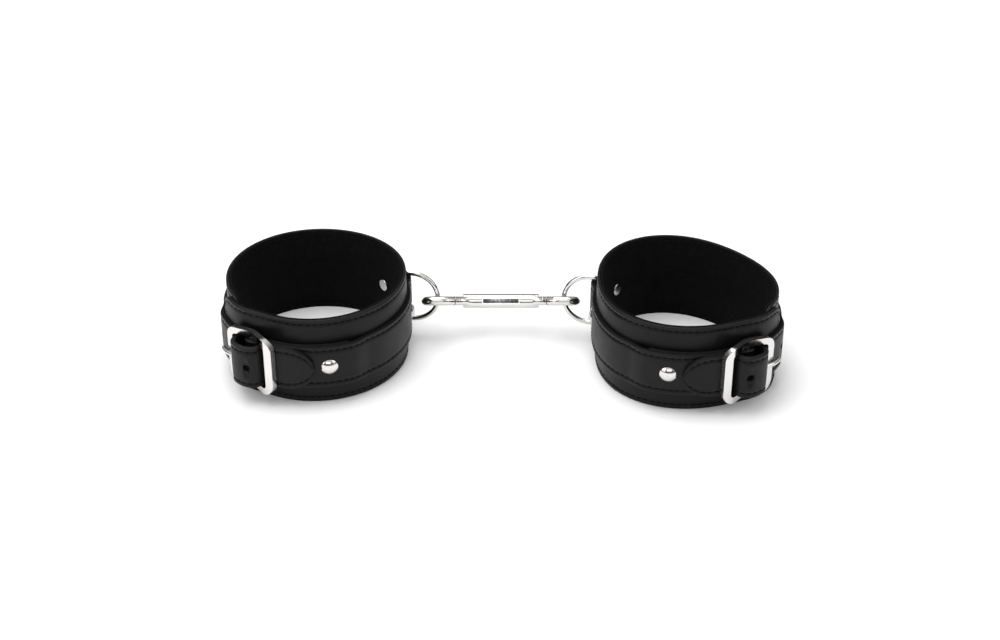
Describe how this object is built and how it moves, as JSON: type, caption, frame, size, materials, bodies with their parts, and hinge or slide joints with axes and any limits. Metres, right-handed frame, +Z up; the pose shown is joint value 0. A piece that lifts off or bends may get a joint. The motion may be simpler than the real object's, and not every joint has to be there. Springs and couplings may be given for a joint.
{
  "type": "pair of leather wrist cuffs with a double-ended snap",
  "caption": "Two stitched black leather wrist cuffs with centre-bar buckles, joined through their D-rings by a nickel double-ended bolt snap.",
  "frame": {"origin": "bottom centre of the whole object's box, on the surface the cuffs stand on", "axes": "+X from the left cuff to the right cuff, +Z up, -Y the side with the buckles"},
  "size_m": [0.3056, 0.1226, 0.05],
  "materials": {
    "black_leather": "smooth semi-matt black leather",
    "band_lining": "matt black soft lining",
    "strap_backing": "matt black backing leather",
    "nickel_plate": "polished nickel plate",
    "spring_steel": "drawn wire"
  },
  "bodies": {
    "snap": {"snap_body": "nickel_plate", "left_snap_spring": "spring_steel", "right_snap_spring": "spring_steel"},
    "left_bolt": {"left_snap_bolt": "nickel_plate", "left_thumb_knob": "nickel_plate"},
    "left_ring": {"left_d_ring": "nickel_plate"},
    "left_cuff": {"left_band_shell": "black_leather", "left_band_lining": "band_lining", "left_strap": "black_leather", "left_strap_lining": "strap_backing", "left_d_ring_rivets": "nickel_plate", "left_d_ring_rivet_backs": "nickel_plate", "left_chape_rivet": "nickel_plate", "left_chape_rivet_back": "nickel_plate"},
    "left_buckle": {"left_buckle_frame": "nickel_plate"},
    "left_prong": {"left_buckle_prong": "nickel_plate"},
    "right_bolt": {"right_snap_bolt": "nickel_plate", "right_thumb_knob": "nickel_plate"},
    "right_ring": {"right_d_ring": "nickel_plate"},
    "right_cuff": {"right_band_shell": "black_leather", "right_band_lining": "band_lining", "right_strap": "black_leather", "right_strap_lining": "strap_backing", "right_d_ring_rivets": "nickel_plate", "right_d_ring_rivet_backs": "nickel_plate", "right_chape_rivet": "nickel_plate", "right_chape_rivet_back": "nickel_plate"},
    "right_buckle": {"right_buckle_frame": "nickel_plate"},
    "right_prong": {"right_buckle_prong": "nickel_plate"}
  },
  "joints": [
    {"name": "left_bolt_slide", "type": "slide", "parent": "snap", "child": "left_bolt", "axis": [1, 0, 0], "range_m": [0, 0.007], "stiffness_N_per_m": 150, "springref_m": -0.002, "deforming": ["left_snap_spring"]},
    {"name": "left_ring_swing", "type": "hinge", "parent": "snap", "child": "left_ring", "pos_m": [-0.03551, 0.02453, 0.0217], "axis": [0, 1, 0], "range_deg": [-15, 15]},
    {"name": "left_cuff_swivel", "type": "hinge", "parent": "left_ring", "child": "left_cuff", "pos_m": [-0.05423, 0.02716, 0.024], "axis": [0, 0, 1], "range_deg": [-25, 25]},
    {"name": "left_buckle_tilt", "type": "hinge", "parent": "left_cuff", "child": "left_buckle", "pos_m": [-0.13155, -0.04004, 0.024], "axis": [0, 0, 1], "range_deg": [-1, 1]},
    {"name": "left_prong_lift", "type": "hinge", "parent": "left_buckle", "child": "left_prong", "pos_m": [-0.13155, -0.04004, 0.024], "axis": [0, 0, 1], "range_deg": [0, 2]},
    {"name": "right_bolt_slide", "type": "slide", "parent": "snap", "child": "right_bolt", "axis": [-1, 0, 0], "range_m": [0, 0.007], "stiffness_N_per_m": 150, "springref_m": -0.002, "deforming": ["right_snap_spring"]},
    {"name": "right_ring_swing", "type": "hinge", "parent": "snap", "child": "right_ring", "pos_m": [0.03569, 0.02453, 0.0217], "axis": [0, 1, 0], "range_deg": [-15, 15]},
    {"name": "right_cuff_swivel", "type": "hinge", "parent": "right_ring", "child": "right_cuff", "pos_m": [0.0543, 0.02125, 0.024], "axis": [0, 0, -1], "range_deg": [-25, 25]},
    {"name": "right_buckle_tilt", "type": "hinge", "parent": "right_cuff", "child": "right_buckle", "pos_m": [0.12915, -0.04976, 0.024], "axis": [0, 0, -1], "range_deg": [-1, 1]},
    {"name": "right_prong_lift", "type": "hinge", "parent": "right_buckle", "child": "right_prong", "pos_m": [0.12915, -0.04976, 0.024], "axis": [0, 0, -1], "range_deg": [0, 2]}
  ]
}
